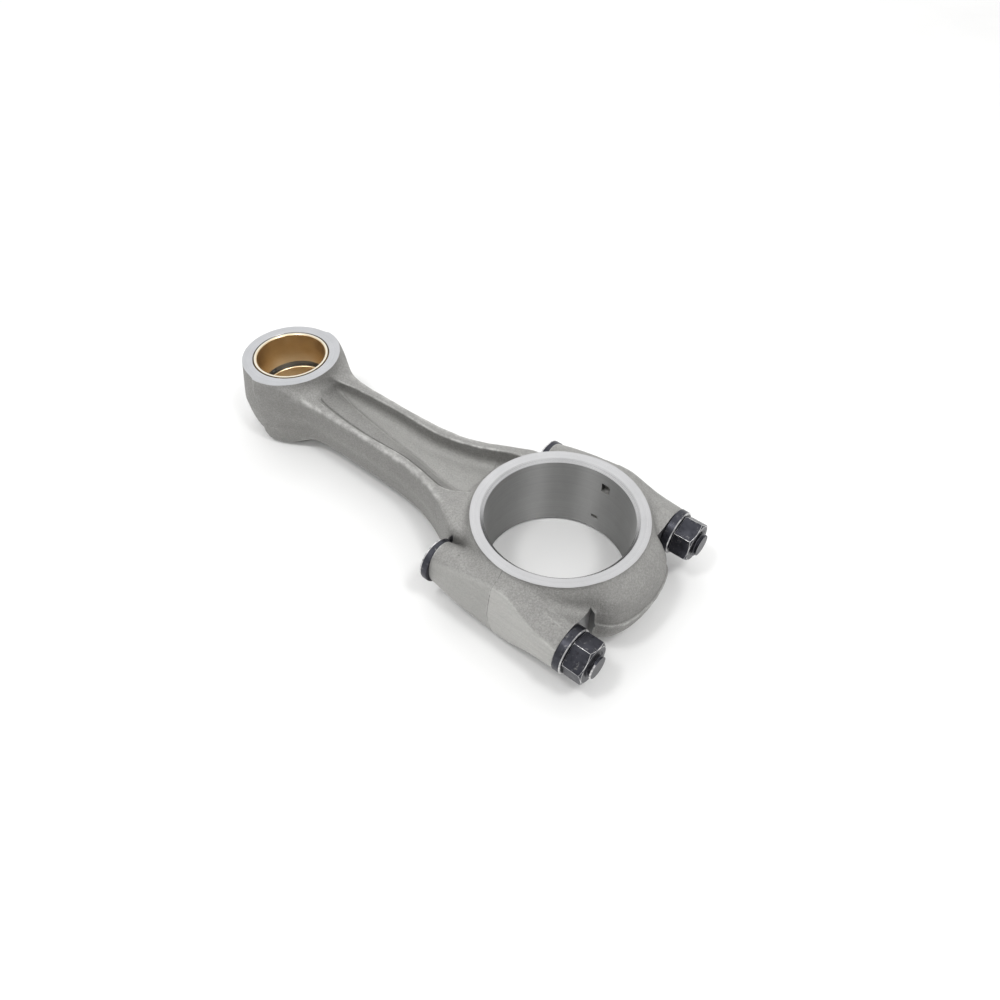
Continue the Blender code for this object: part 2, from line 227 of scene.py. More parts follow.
def rod_field(x, y, z):
    """Distance to the skin of the rod forging: shank less its pockets, both ends and the bosses."""
    ay, h = np.abs(y), np.abs(z)
    width, height, web = shank_width(x), shank_height(x), web_half(x)
    outer = meet(ay - (width - 0.09 * h), h - height, 2.4 + 3.0 * ramp(x, -52, -40))
    outer = np.maximum(outer, -176 - x)
    rise = np.maximum(height - web, 1.0)
    step = lip_step(rise)
    tilt_near = np.clip((rim_near(x) - foot_near(x) - 1.2) / np.maximum(rise - 2 * step, 1), 0, 2.6)
    near = (-y - (foot_near(x) + 1.2 + tilt_near * (h - web - step))) / np.sqrt(1 + tilt_near ** 2)
    near = meet(join(near, -y - foot_near(x) - 1.2, 0.4), -y - rim_near(x), 0.5)
    tilt_far = np.clip((rim_far(x) - foot_far(x)) / rise, 0, 2.6)
    far = (y - (foot_far(x) + tilt_far * (h - web))) / np.sqrt(1 + tilt_far ** 2)
    pocket = meet(meet(far, web - h, 4.6), near, 0.6)
    shank = meet(outer, -pocket, 0.9)
    body = join(shank, barrel(x, ay, h), 2.6)
    small_r = np.hypot(x - SMALL_X, ay)
    small = (small_r - (SMALL_BOSS_R - 0.138 * h - 0.0155 * np.maximum(-8 - z, 0) ** 2)) * 0.97
    body = join(body, small, 3.5 + 4.5 * ramp(h, 6, 14))
    boss = bolt_boss(x, ay, h, boss_round(x), 0.45 + 0.55 * ramp(x, -34, 0))
    boss = np.maximum(boss, -37 - x)
    return join(body, boss, 1.0 + 3.4 * ramp(x, -28, -8))


crown_r = curve([(-2, 50.9), (0, 50.9), (8, 49.8), (12.5, 47.4), (16.5, 44.0), (19.8, 40.4), (22, 38)], 0.5)


def cap_field(x, y, z):
    """Distance to the skin of the cap forging: ring, bosses and the crown with its flash line."""
    ay, h = np.abs(y), np.abs(z)
    radius = np.hypot(x, ay)
    dy = ay - BOLT_Y
    side = dy - (boss_width(x) - (0.10 * h + 0.006 * h * h))
    top = h - (boss_top(x) - boss_fall(x) * np.maximum(dy, 0) - 0.30 * np.maximum(-dy - 4, 0))
    boss = np.maximum(meet(side * 0.97, top * 0.88, 0.6), x - 37)
    body = join(barrel(x, ay, h), boss, 4.5)
    crown = (radius - crown_r(h)) * np.where(h < 8, 0.97, 0.80)
    crown = meet(crown, ay - 26.0, 11.0)
    crown = join(crown, np.maximum(np.maximum(crown - 0.70, h - 0.85), 15 - x), 0.7)
    crown = np.maximum(crown, 20 - x)
    return join(body, crown, 1.9)


def waves(points, wavelengths, seed):
    """Sum of sine waves in chosen directions: the gentle unevenness of a die forging."""
    draw = np.random.default_rng(seed)
    total = np.zeros(len(points))
    for length in wavelengths:
        direction = draw.normal(size=3)
        direction *= 2 * np.pi / length / np.linalg.norm(direction)
        total += np.sin(points @ direction + draw.uniform(0, 2 * np.pi))
    return total / np.sqrt(len(wavelengths))


def forged_mesh(name, field, x_low, x_high, y_high, z_high):
    """Closed quad mesh on the zero of the field."""
    xs = np.arange(x_low, x_high + VOXEL, VOXEL)
    ys = (np.arange(-int(y_high / VOXEL) - 1, int(y_high / VOXEL) + 1) + 0.5) * VOXEL
    zs = (np.arange(-int(z_high / VOXEL) - 1, int(z_high / VOXEL) + 1) + 0.5) * VOXEL
    grid = np.meshgrid(xs, ys, zs, indexing="ij")
    whole = field(*grid).astype(np.float32)
    volume = openvdb.FloatGrid()
    volume.copyFromArray(np.clip(whole, -4 * VOXEL, 4 * VOXEL))
    points, quads = volume.convertToQuads(0.0)
    start = np.array([xs[0], ys[0], zs[0]])
    points = points.astype(float) * VOXEL + start
    for _ in range(3):
        value, slope = gradient(field, points)
        move = value[:, None] * slope / np.maximum((slope ** 2).sum(1), 0.05)[:, None]
        points -= np.clip(move, -VOXEL / 2, VOXEL / 2)
    _, slope = gradient(field, points)
    normal = slope / np.linalg.norm(slope, axis=1)[:, None]
    broad = 0.05 * waves(points, np.linspace(7, 30, 22), 11)
    fine = 0.022 * waves(points, np.linspace(2.6, 6, 20), 5)
    points += normal * (broad + fine - 0.12)[:, None]
    mesh = bpy.data.meshes.new(name)
    mesh.from_pydata(points.tolist(), [], quads.tolist())
    shape = bmesh.new()
    shape.from_mesh(mesh)
    if shape.calc_volume(signed=True) < 0:
        bmesh.ops.reverse_faces(shape, faces=shape.faces)
    shape.to_mesh(mesh)
    shape.free()
    return mesh


def gradient(field, points):
    """Value and slope of the field at each point."""
    step = 0.05
    value = field(*points.T)
    parts = []
    for axis in range(3):
        shift = np.zeros(3)
        shift[axis] = step
        parts.append((field(*(points + shift).T) - field(*(points - shift).T)) / (2 * step))
    return value, np.stack(parts, axis=1)


# ---------------------------------------------------------------- machined shapes
def add_object(name, mesh, place=None):
    obj = bpy.data.objects.new(name, mesh)
    bpy.context.scene.collection.objects.link(obj)
    if place is not None:
        obj.matrix_world = place
    return obj


def loft(name, rings, closed_loop=False):
    """Closed mesh through rings of points, capped at both ends or joined into a loop."""
    shape = bmesh.new()
    rows = [[shape.verts.new(Vector(point)) for point in ring] for ring in rings]
    pairs = list(zip(rows, rows[1:]))
    if closed_loop:
        pairs.append((rows[-1], rows[0]))
    for row, following in pairs:
        for i in range(len(row)):
            j = (i + 1) % len(row)
            shape.faces.new((row[i], row[j], following[j], following[i]))
    if not closed_loop:
        shape.faces.new(rows[0])
        shape.faces.new(rows[-1])
    bmesh.ops.recalc_face_normals(shape, faces=shape.faces)
    if shape.calc_volume(signed=True) < 0:
        bmesh.ops.reverse_faces(shape, faces=shape.faces)
    mesh = bpy.data.meshes.new(name)
    shape.to_mesh(mesh)
    shape.free()
    return mesh


def turned(name, profile, segments):
    """Closed (radius, height) outline turned about Z; it may start and end on the axis."""
    angles = np.arange(segments) * 2 * np.pi / segments
    if all(r > 0 for r, _ in profile):
        rings = [[(r * np.cos(a), r * np.sin(a), z) for r, z in profile] for a in angles]
        return loft(name, rings, closed_loop=True)
    return loft(name, [[(r * np.cos(a), r * np.sin(a), z) for a in angles] for r, z in profile[1:-1]])


def box(name, low, high):
    corners = [(low[0], low[1]), (high[0], low[1]), (high[0], high[1]), (low[0], high[1])]
    return loft(name, [[(x, y, z) for x, y in corners] for z in (low[2], high[2])])


def pill(name, low, high, radius):
    """Upright block whose four vertical edges are rounded, as an end mill leaves them."""
    points = []
    left, right, front, back = low[0] + radius, high[0] - radius, low[1] + radius, high[1] - radius
    for cx, cy, first in ((right, back, 0), (left, back, 90), (left, front, 180), (right, front, 270)):
        for a in np.radians(first + np.linspace(0, 90, 4)):
            points.append((cx + radius * np.cos(a), cy + radius * np.sin(a)))
    return loft(name, [[(x, y, z) for x, y in points] for z in (low[2], high[2])])


def machine(obj, operation, tools, solver="MANIFOLD"):
    """Applies Boolean steps and removes the tools."""
    for tool in tools:
        step = obj.modifiers.new(tool.name, "BOOLEAN")
        step.operation = operation
        step.solver = solver
        step.object = tool
    bake(obj)
    for tool in tools:
        bpy.data.objects.remove(tool)


def bake(obj):
    """Applies the modifiers."""
    bpy.context.view_layer.update()
    graph = bpy.context.evaluated_depsgraph_get()
    mesh = bpy.data.meshes.new_from_object(obj.evaluated_get(graph))
    obj.modifiers.clear()
    obj.data = mesh


ALONG_X = Matrix(((0, 0, 1, 0), (0, 1, 0, 0), (-1, 0, 0, 0), (0, 0, 0, 1)))


def at(x, y, z=0.0):
    return Matrix.Translation((x, y, z))


def bore_tool(name, x, radius, chamfer, segments):
    """Cutter for a bore along Z with a 45 degree chamfer at both faces."""
    past = 3
    profile = [(0, -FACE_H - past), (radius + chamfer + past, -FACE_H - past), (radius, chamfer - FACE_H),
               (radius, FACE_H - chamfer), (radius + chamfer + past, FACE_H + past), (0, FACE_H + past)]
    return add_object(name, turned(name, profile, segments), at(x, 0))


def hole_tool(name, side):
    """Cutter for a bolt hole along X."""
    profile = [(0, -OVERSHOOT), (BOLT_HOLE_R, -OVERSHOOT), (BOLT_HOLE_R, OVERSHOOT), (0, OVERSHOOT)]
    return add_object(name, turned(name, profile, 48), at(0, side * BOLT_Y) @ ALONG_X)


def finish_mesh(obj, sharp=38):
    """Puts the piece into metres in the row frame, with smooth round surfaces and crisp edges."""
    obj.data.transform(PLACE @ obj.matrix_world)
    obj.matrix_world = Matrix.Identity(4)
    obj.data.shade_smooth()
    obj.data.set_sharp_from_angle(angle=np.radians(sharp))


def face_data(mesh):
    """Centre and normal of every face."""
    count = len(mesh.polygons)
    centre = np.empty(count * 3, np.float32)
    normal = np.empty(count * 3, np.float32)
    mesh.polygons.foreach_get("center", centre)
    mesh.polygons.foreach_get("normal", normal)
    return centre.reshape(-1, 3), normal.reshape(-1, 3)


# ---------------------------------------------------------------- finishes
class Finish:
    """A material and short ways to add nodes to it."""

    def __init__(self, name):
        self.material = bpy.data.materials.new(name)
        self.material.use_nodes = True
        self.tree = self.material.node_tree
        self.shader = self.tree.nodes["Principled BSDF"]
        self.place = self.add("ShaderNodeTexCoord").outputs["Object"]

    def add(self, kind, inputs=None, **settings):
        made = self.tree.nodes.new(kind)
        for key, value in settings.items():
            setattr(made, key, value)
        for key, value in (inputs or {}).items():
            self.set(made.inputs[key], value)
        return made

    def set(self, socket, value):
        if isinstance(value, bpy.types.NodeSocket):
            self.tree.links.new(value, socket)
        else:
            socket.default_value = value

    def noise(self, scale, detail=3.0, roughness=0.55, stretch=None):
        place = self.place
        if stretch:
            place = self.add("ShaderNodeMapping", {"Vector": place, "Scale": stretch}).outputs["Vector"]
        made = self.add("ShaderNodeTexNoise", {"Vector": place, "Scale": scale, "Detail": detail,
                                               "Roughness": roughness})
        return made.outputs["Fac"]

    def spread(self, value, low, high, to_low=0.0, to_high=1.0):
        made = self.add("ShaderNodeMapRange", {"Value": value, "From Min": low, "From Max": high,
                                               "To Min": to_low, "To Max": to_high})
        return made.outputs["Result"]

    def math(self, operation, a, b=0.0):
        made = self.add("ShaderNodeMath", operation=operation)
        for socket, value in zip(made.inputs, (a, b)):
            self.set(socket, value)
        return made.outputs[0]

    def mix(self, share, a, b):
        made = self.add("ShaderNodeMix", data_type="RGBA")
        self.set(made.inputs["Factor"], share)
        for key, value in (("A", a), ("B", b)):
            socket = [s for s in made.inputs if s.name == key and s.type == "RGBA"][0]
            self.set(socket, (*value, 1) if isinstance(value, tuple) and len(value) == 3 else value)
        return [s for s in made.outputs if s.type == "RGBA"][0]

    def bump(self, height, distance, normal=None, strength=1.0):
        inputs = {"Height": height, "Distance": distance, "Strength": strength}
        if normal is not None:
            inputs["Normal"] = normal
        return self.add("ShaderNodeBump", inputs).outputs["Normal"]

    def end(self, colour, roughness, metallic, normal=None):
        """Joins the results to the shader and gives the material."""
        self.set(self.shader.inputs["Base Color"], colour)
        self.set(self.shader.inputs["Roughness"], roughness)
        self.set(self.shader.inputs["Metallic"], metallic)
        if normal is not None:
            self.set(self.shader.inputs["Normal"], normal)
        return self.material


def forged_steel():
    """Shot-blasted skin with painted light and shade; the ground_and_painted_light, crest and crease values
    are stored on the mesh by paint_steel: faces left smooth by grinding plus a painted lighter pocket
    floor, rubbed edges plus painted highlight, and painted shade along the pocket's lines.
    """
    f = Finish("forged_skin")
    broad = f.noise(45, 4, 0.6)
    patch = f.noise(230, 5, 0.65)
    grain = f.noise(1250, 5, 0.75)
    ground_and_painted_light = f.add("ShaderNodeAttribute", attribute_name="ground_and_painted_light").outputs["Fac"]
    colour = f.mix(f.spread(broad, 0.35, 0.65), (0.350, 0.346, 0.334), (0.408, 0.404, 0.389))
    colour = f.mix(f.spread(patch, 0.38, 0.64, 0.0, 0.40), colour, (0.455, 0.450, 0.436))
    colour = f.mix(f.spread(grain, 0.38, 0.62, 0.0, 0.60), colour, (0.215, 0.212, 0.205))
    colour = f.mix(f.spread(grain, 0.62, 0.74, 0.0, 0.6), colour, (0.58, 0.578, 0.565))
    pits = f.spread(f.noise(390, 2.5), 0.70, 0.78, 0.0, 0.45)
    colour = f.mix(pits, colour, (0.10, 0.098, 0.094))
    # Convex edges and the crest band are lightened: partly rubbed steel, partly painted highlight.
    edge = f.add("ShaderNodeNewGeometry").outputs["Pointiness"]
    wear_and_highlight = f.spread(edge, 0.512, 0.545)
    crest = f.add("ShaderNodeAttribute", attribute_name="crest").outputs["Fac"]
    wear_and_highlight = f.math("MAXIMUM", wear_and_highlight, crest)
    wear_and_highlight = f.math("MULTIPLY", wear_and_highlight, f.spread(patch, 0.42, 0.58, 0.20, 0.95))
    colour = f.mix(wear_and_highlight, colour, (0.62, 0.617, 0.60))
    # Painted shade: concave creases and the crease lines of the pocket are darkened.
    painted_crease_shade = f.spread(edge, 0.490, 0.455, 0.0, 0.45)
    crease = f.add("ShaderNodeAttribute", attribute_name="crease").outputs["Fac"]
    painted_crease_shade = f.math("MAXIMUM", painted_crease_shade, f.math("MULTIPLY", crease, f.spread(patch, 0.40, 0.55, 0.6, 0.95)))
    colour = f.mix(painted_crease_shade, colour, (0.115, 0.113, 0.108))
    streaks = f.noise(1.0, 4, 0.6, stretch=(60, 900, 900))
    smooth_skin_and_painted_light = f.mix(f.spread(streaks, 0.35, 0.65), (0.475, 0.472, 0.455), (0.525, 0.521, 0.503))
    smooth_skin_and_painted_light = f.mix(f.spread(grain, 0.4, 0.7, 0.0, 0.25), smooth_skin_and_painted_light, (0.3, 0.298, 0.287))
    # Painted shade: faces that stand upright are darkened, as they face away from the light above.
    facing = f.add("ShaderNodeNewGeometry").outputs["Normal"]
    upright = f.add("ShaderNodeSeparateXYZ", {"Vector": facing}).outputs["Z"]
    side = f.spread(f.math("ABSOLUTE", upright), 0.25, 0.75, 0.30, 0.0)
    colour = f.mix(side, colour, (0.12, 0.117, 0.110))
    # Faces left smooth by grinding take the smooth tone; in the pocket the same tone is painted light.
    colour = f.mix(ground_and_painted_light, colour, smooth_skin_and_painted_light)
    parts = f.add("ShaderNodeSeparateXYZ", {"Vector": f.place})
    from_joint = f.math("ABSOLUTE", f.math("SUBTRACT", parts.outputs["X"], BIG_AXIS))
    line = f.spread(from_joint, 0.00004, 0.00024, 0.85, 0.0)
    line = f.math("MULTIPLY", line, f.spread(patch, 0.42, 0.56, 0.2, 1.0))
    colour = f.mix(line, colour, (0.07, 0.07, 0.068))
    rough = f.spread(grain, 0.3, 0.7, 0.48, 0.60)
    normal = f.bump(grain, 0.00050)
    normal = f.bump(patch, 0.00045, normal, 0.6)
    normal = f.bump(f.math("SUBTRACT", 1.0, pits), 0.00025, normal)
    return f.end(colour, rough, 0.72, normal)


def machined_steel(name, tone, rough, centre=None, groove=2600.0, depth=0.000012, streak=0.0):
    """Faced or bored steel; centre gives the axis that the cutting marks run round."""
    f = Finish(name)
    blotch = f.noise(70, 4, 0.6)
    colour = f.mix(f.spread(blotch, 0.35, 0.65), tuple(0.93 * t for t in tone), tone)
    if centre is None:
        marks = f.noise(1.0, 3, 0.5, stretch=(500, 60, 1800))
    else:
        parts = f.add("ShaderNodeSeparateXYZ", {"Vector": f.place})
        dx = f.math("SUBTRACT", parts.outputs["X"], centre)
        radius = f.math("SQRT", f.math("ADD", f.math("MULTIPLY", dx, dx),
                                       f.math("MULTIPLY", parts.outputs["Y"], parts.outputs["Y"])))
        lay = f.add("ShaderNodeCombineXYZ", {"X": radius, "Y": parts.outputs["Z"]}).outputs["Vector"]
        marks = f.add("ShaderNodeTexNoise", {"Vector": lay, "Scale": groove, "Detail": 2.0}).outputs["Fac"]
    if streak:
        back_y = f.math("MULTIPLY", parts.outputs["Y"], -1.0)
        round_axis = f.add("ShaderNodeCombineXYZ", {"X": back_y, "Y": dx})
        f.set(f.shader.inputs["Tangent"], round_axis.outputs["Vector"])
        f.set(f.shader.inputs["Anisotropic"], streak)
        f.set(f.shader.inputs["Anisotropic Rotation"], 0.25)
    colour = f.mix(f.spread(marks, 0.35, 0.65, 0.0, 0.10), colour, tuple(0.6 * t for t in tone))
    rough = f.spread(marks, 0.3, 0.7, rough - 0.04, rough + 0.06)
    return f.end(colour, rough, 1.0, f.bump(marks, depth))


def bronze_finish():
    f = Finish("bush_bronze")
    blotch = f.noise(90, 5, 0.6)
    marks = f.noise(1.0, 3, 0.6, stretch=(120, 120, 4200))
    colour = f.mix(f.spread(blotch, 0.35, 0.65), (0.74, 0.575, 0.35), (0.84, 0.67, 0.44))
    colour = f.mix(f.spread(marks, 0.45, 0.7, 0.0, 0.3), colour, (0.58, 0.41, 0.23))
    return f.end(colour, f.spread(blotch, 0.3, 0.7, 0.26, 0.38), 1.0, f.bump(marks, 0.00001))


def oxide_finish():
    f = Finish("black_oxide")
    blotch = f.noise(160, 5, 0.6)
    grain = f.noise(1900, 3, 0.6)
    colour = f.mix(f.spread(blotch, 0.35, 0.65), (0.031, 0.032, 0.041), (0.056, 0.057, 0.069))
    spots = f.spread(f.noise(520, 6, 0.7), 0.58, 0.70, 0.0, 0.7)
    colour = f.mix(spots, colour, (0.26, 0.255, 0.25))
    colour = f.mix(f.spread(f.noise(640, 5, 0.7), 0.44, 0.34, 0.0, 0.7), colour, (0.022, 0.022, 0.026))
    return f.end(colour, f.spread(blotch, 0.3, 0.7, 0.30, 0.46), 0.75, f.bump(grain, 0.00004))


def rubbed_and_highlight_finish():
    """Edge of a black part, rubbed bright in places, with painted highlight along the edge."""
    f = Finish("rubbed_and_highlight_edge")
    break_up = f.spread(f.noise(420, 6, 0.75), 0.36, 0.54)
    colour = f.mix(break_up, (0.12, 0.12, 0.135), (0.66, 0.655, 0.65))
    return f.end(colour, f.spread(break_up, 0, 1, 0.42, 0.30), 0.85, f.bump(f.noise(1600, 3), 0.00004))


def dark_thread():
    f = Finish("oiled_thread")
    grain = f.noise(900, 4, 0.6)
    colour = f.mix(f.spread(grain, 0.35, 0.65), (0.030, 0.030, 0.036), (0.07, 0.07, 0.08))
    return f.end(colour, f.spread(grain, 0.3, 0.7, 0.30, 0.45), 0.7, f.bump(grain, 0.00003))


# ---------------------------------------------------------------- rod body and cap
BIG_AXIS, SMALL_AXIS = CRANK_X / 1000, (CRANK_X + SMALL_X) / 1000
FORGED = forged_steel()
FACED_BIG = machined_steel("faced_big_end", (0.44, 0.44, 0.446), 0.30, BIG_AXIS)
FACED_SMALL = machined_steel("faced_small_end", (0.395, 0.40, 0.412), 0.30, SMALL_AXIS)
# Painted highlight: the big end's chamfer is a brighter copy of the faced steel.
CHAMFERED = machined_steel("chamfer_big_end", (0.62, 0.62, 0.625), 0.24, BIG_AXIS)
BORED = machined_steel("bored_housing", (0.36, 0.36, 0.356), 0.52, BIG_AXIS, 1900.0, 0.00001, 0.95)
MILLED = machined_steel("milled_seat", (0.30, 0.30, 0.30), 0.38)


# Material slots, in the order that paint_steel adds the finishes.
SKIN, RING, EYE, BORE, SEAT, CHAMFER = range(6)


def paint_steel(obj):
    """Gives each face its finish from where it lies: forged skin, faced ring, bore or milled seat."""
    mesh = obj.data
    mesh.materials.clear()
    for finish in (FORGED, FACED_BIG, FACED_SMALL, BORED, MILLED, CHAMFERED):
        mesh.materials.append(finish)
    centre, normal = face_data(mesh)
    local = centre * 1000 - np.array([CRANK_X, 0, MIDDLE_Z])
    x, y, z = local.T
    kind = np.full(len(x), SKIN, np.int32)
    flat_z = (np.abs(normal[:, 2]) > 0.999) & (np.abs(np.abs(z) - FACE_H) < 0.02)
    kind[flat_z & (x > -100)] = RING
    kind[flat_z & (x < -100)] = EYE
    big_r, small_r = np.hypot(x, y), np.hypot(x - SMALL_X, y)
    inward = (x * normal[:, 0] + y * normal[:, 1]) < -0.1
    tilt = np.abs(normal[:, 2])
    kind[(big_r < CRANKPIN_R + 0.3) & inward & ~flat_z] = BORE
    big_edge = (big_r >= CRANKPIN_R + 0.3) & (big_r < CRANKPIN_R + 2.0)
    kind[big_edge & (tilt > 0.5) & (tilt < 0.9)] = CHAMFER
    kind[(small_r < HOUSING_R + 0.05) & ~flat_z] = BORE
    small_edge = (small_r >= HOUSING_R + 0.05) & (small_r < HOUSING_R + 0.8)
    kind[small_edge & (tilt > 0.5) & (np.abs(z) > 19)] = EYE
    across = (np.abs(x - HEAD_SEAT) < 0.05) | (np.abs(x - NUT_SEAT) < 0.05) | (np.abs(x) < 0.2)
    seat = (np.abs(normal[:, 0]) > 0.999) & across
    shoulder = (x < HEAD_SEAT + 0.1) & (np.abs(np.abs(y) - SHOULDER_Y) < 0.05)
    crown = (x > NUT_SEAT - 0.1) & (np.abs(np.abs(y) - CROWN_Y) < 0.05)
    recess = (tilt < 0.02) & (shoulder | crown)
    hole = np.hypot(np.abs(y) - BOLT_Y, z) < BOLT_HOLE_R + 0.05
    kind[seat | recess | hole] = SEAT
    mesh.polygons.foreach_set("material_index", kind)
    points = np.empty(len(mesh.vertices) * 3, np.float32)
    mesh.vertices.foreach_get("co", points)
    px, py, pz = (points.reshape(-1, 3) * 1000 - np.array([CRANK_X, 0, MIDDLE_Z])).T
    side = np.abs(py) - BOLT_Y
    h = np.abs(pz)
    reach = boss_width(px) - (0.10 * h + 0.006 * h * h)
    ground_and_painted_light = np.clip((side - reach + 1.15) / 1.0, 0, 1) * (px > -0.5)
    ground_and_painted_light = np.maximum(ground_and_painted_light, 0.6 * np.clip((side - reach + 1.4) / 0.8, 0, 1) * (px < 0.2) * (px > -34))
    belt = 0.12 * np.exp(-(h / 2.2) ** 2) * ramp(px, -172, -150) * (1 - ramp(px, -60, -40))
    ground_and_painted_light = np.maximum(ground_and_painted_light, belt)
    # Crest: a bright band along the shank's rim edges and the cap's ridge, partly rubbed steel and partly
    # painted highlight.
    edge = np.hypot(np.abs(py) - (shank_width(px) - 0.09 * h - 0.9), h - (shank_height(px) - 0.5))
    crest = 0.78 * np.exp(-(edge / 1.5) ** 2) * ramp(px, -168, -158) * (1 - ramp(px, -56, -46))
    ridge = np.abs(side - reach + 0.5) / 0.35
    crest = np.maximum(crest, 0.7 * np.exp(-ridge ** 2) * (px > 3) * (h > 5) * (px < 35.4))
    near_side, inside = -py, (px > -152) & (px < -51) & (pz > 3)
    floor = web_half(px)
    step = lip_step(shank_height(px) - floor)
    # Painted shade: dark lines along the steps at the top and foot of the pocket's near wall.
    lip = np.exp(-((near_side - rim_near(px) + 0.2 + 1.1 * step) / 0.6) ** 2) * (h < shank_height(px) - 0.7)
    foot = np.exp(-((near_side - foot_near(px) - 0.9 + 0.72 * step) / 0.6) ** 2) * (h < floor + 3.5)
    crease = np.maximum(lip, foot) * inside
    in_pocket = inside * (near_side < foot_near(px) + 2.5) * (py < rim_far(px) + 1)
    # Painted light: the foot of the far pocket wall and the floor beside it are lightened.
    far_low = 0.42 * (1 - ramp(h - floor, 1.0, 5.5))
    ground_and_painted_light = np.maximum(ground_and_painted_light, far_low * in_pocket)
    for key, value in (("ground_and_painted_light", ground_and_painted_light), ("crest", crest), ("crease", crease)):
        layer = mesh.attributes.new(key, "FLOAT", "POINT")
        layer.data.foreach_set("value", value.astype(np.float32))


def face_box(name, x_low, x_high):
    """Block whose top and bottom are the machined end faces."""
    return add_object(name, box(name, (x_low, -OVERSHOOT, -FACE_H), (x_high, OVERSHOOT, FACE_H)))


def notch(name, x_low, x_high, z_low, z_high, depth):
    """Cutter for the notch that a bearing shell's tang sits in."""
    low, high = (x_low, CRANKPIN_R - 3, z_low), (x_high, CRANKPIN_R + depth, z_high)
    return add_object(name, pill(name, low, high, 0.4))


def make_rod():
    mesh = forged_mesh("rod_body", rod_field, -211, 2.0, 55, 24)
    rod = add_object("rod_forging", mesh)
    machine(rod, "INTERSECT", [face_box("faces", -220, -JOINT_GAP / 2)])
    tools = [bore_tool("crankpin", 0, CRANKPIN_R, CRANKPIN_CHAMFER, 192),
             bore_tool("pin", SMALL_X, HOUSING_R, HOUSING_CHAMFER, 144)]
    for word, side in SIDES:
        low, high = sorted((side * SHOULDER_Y, side * 80))
        tools.append(add_object("recess_" + word, box("recess", (-60, low, -40), (HEAD_SEAT, high, 40))))
        tools.append(hole_tool("hole_" + word, side))
    oil = turned("oil", [(0, -14), (OIL_HOLE_R, -14), (OIL_HOLE_R, 14), (0, 14)], 32)
    tools.append(add_object("oil", oil, at(SMALL_X - SMALL_BOSS_R, 0, OIL_HOLE_H) @ ALONG_X))
    drill = turned("drill", [(0, -2.5), (DRILLING_R, -2.5), (DRILLING_R, 2.5), (0, 2.5)], 24)
    round_to = Matrix.Rotation(np.radians(DRILLING_TURN), 4, "Z")
    tools.append(add_object("drilling", drill, round_to @ at(CRANKPIN_R, 0, DRILLING_H) @ ALONG_X))
    tools.append(notch("rod_notch", **ROD_NOTCH))
    machine(rod, "DIFFERENCE", tools)
    return rod


def make_cap():
    mesh = forged_mesh("big_end_cap", cap_field, -2.0, 55, 55, 24)
    cap = add_object("cap_forging", mesh)
    machine(cap, "INTERSECT", [face_box("faces", JOINT_GAP / 2, 70)])
    tools = [bore_tool("crankpin", 0, CRANKPIN_R, CRANKPIN_CHAMFER, 192)]
    for word, side in SIDES:
        low, high = sorted((side * CROWN_Y, side * 80))
        tools.append(add_object("seat_" + word, box("seat", (NUT_SEAT, low, -40), (90, high, 40))))
        tools.append(hole_tool("hole_" + word, side))
    tools.append(notch("cap_notch", **CAP_NOTCH))
    machine(cap, "DIFFERENCE", tools)
    return cap


for piece, body, node in ((make_rod(), "rod", "rod_body"), (make_cap(), "cap", "big_end_cap")):
    finish_mesh(piece)
    paint_steel(piece)
    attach(piece, body)
    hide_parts(node)


# ---------------------------------------------------------------- bushes
def make_bush(word, low, high):
    """Bush between two heights, with broken inner edges and a step at each outer edge."""
    profile = [(PIN_R, low + 1.2), (PIN_R, high - 1.2), (PIN_R + 0.15, high - 0.35), (PIN_R + 0.55, high),
               (BUSH_R - 0.45, high), (BUSH_R - 0.45, high - 1.0), (BUSH_R, high - 1.4),
               (BUSH_R, low + 1.4), (BUSH_R - 0.45, low + 1.0), (BUSH_R - 0.45, low),
               (PIN_R + 0.55, low), (PIN_R + 0.15, low + 0.35)]
    bush = add_object(f"bush_{word}", turned("bush", profile, 160), at(SMALL_X, 0))
    finish_mesh(bush, 20)
    return bush


BRONZE = bronze_finish()
BRIGHT = machined_steel("faced_bush", (0.60, 0.56, 0.47), 0.30, SMALL_AXIS)
for word in ("upper", "lower"):
    low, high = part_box(f"small_end_bush_{word}")
    bush = make_bush(word, 1000 * low.z - MIDDLE_Z, 1000 * high.z - MIDDLE_Z)
    bush.data.materials.append(BRONZE)
    bush.data.materials.append(BRIGHT)
    _, normal = face_data(bush.data)
    faced = (np.abs(normal[:, 2]) > 0.9).astype(np.int32)
    bush.data.polygons.foreach_set("material_index", faced)
    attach(bush, "rod")
    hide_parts(f"small_end_bush_{word}")


# ---------------------------------------------------------------- bolts, washers and nuts
def thread_depth(z, angle, depth):
    """Depth below the crest of a 60 degree thread, right-handed about +Z."""
    turn = (z / PITCH - angle / (2 * np.pi)) % 1.0
    flank = np.abs(2 * turn - 1)
    return depth * np.clip((flank - 0.12) / 0.70, 0, 1)


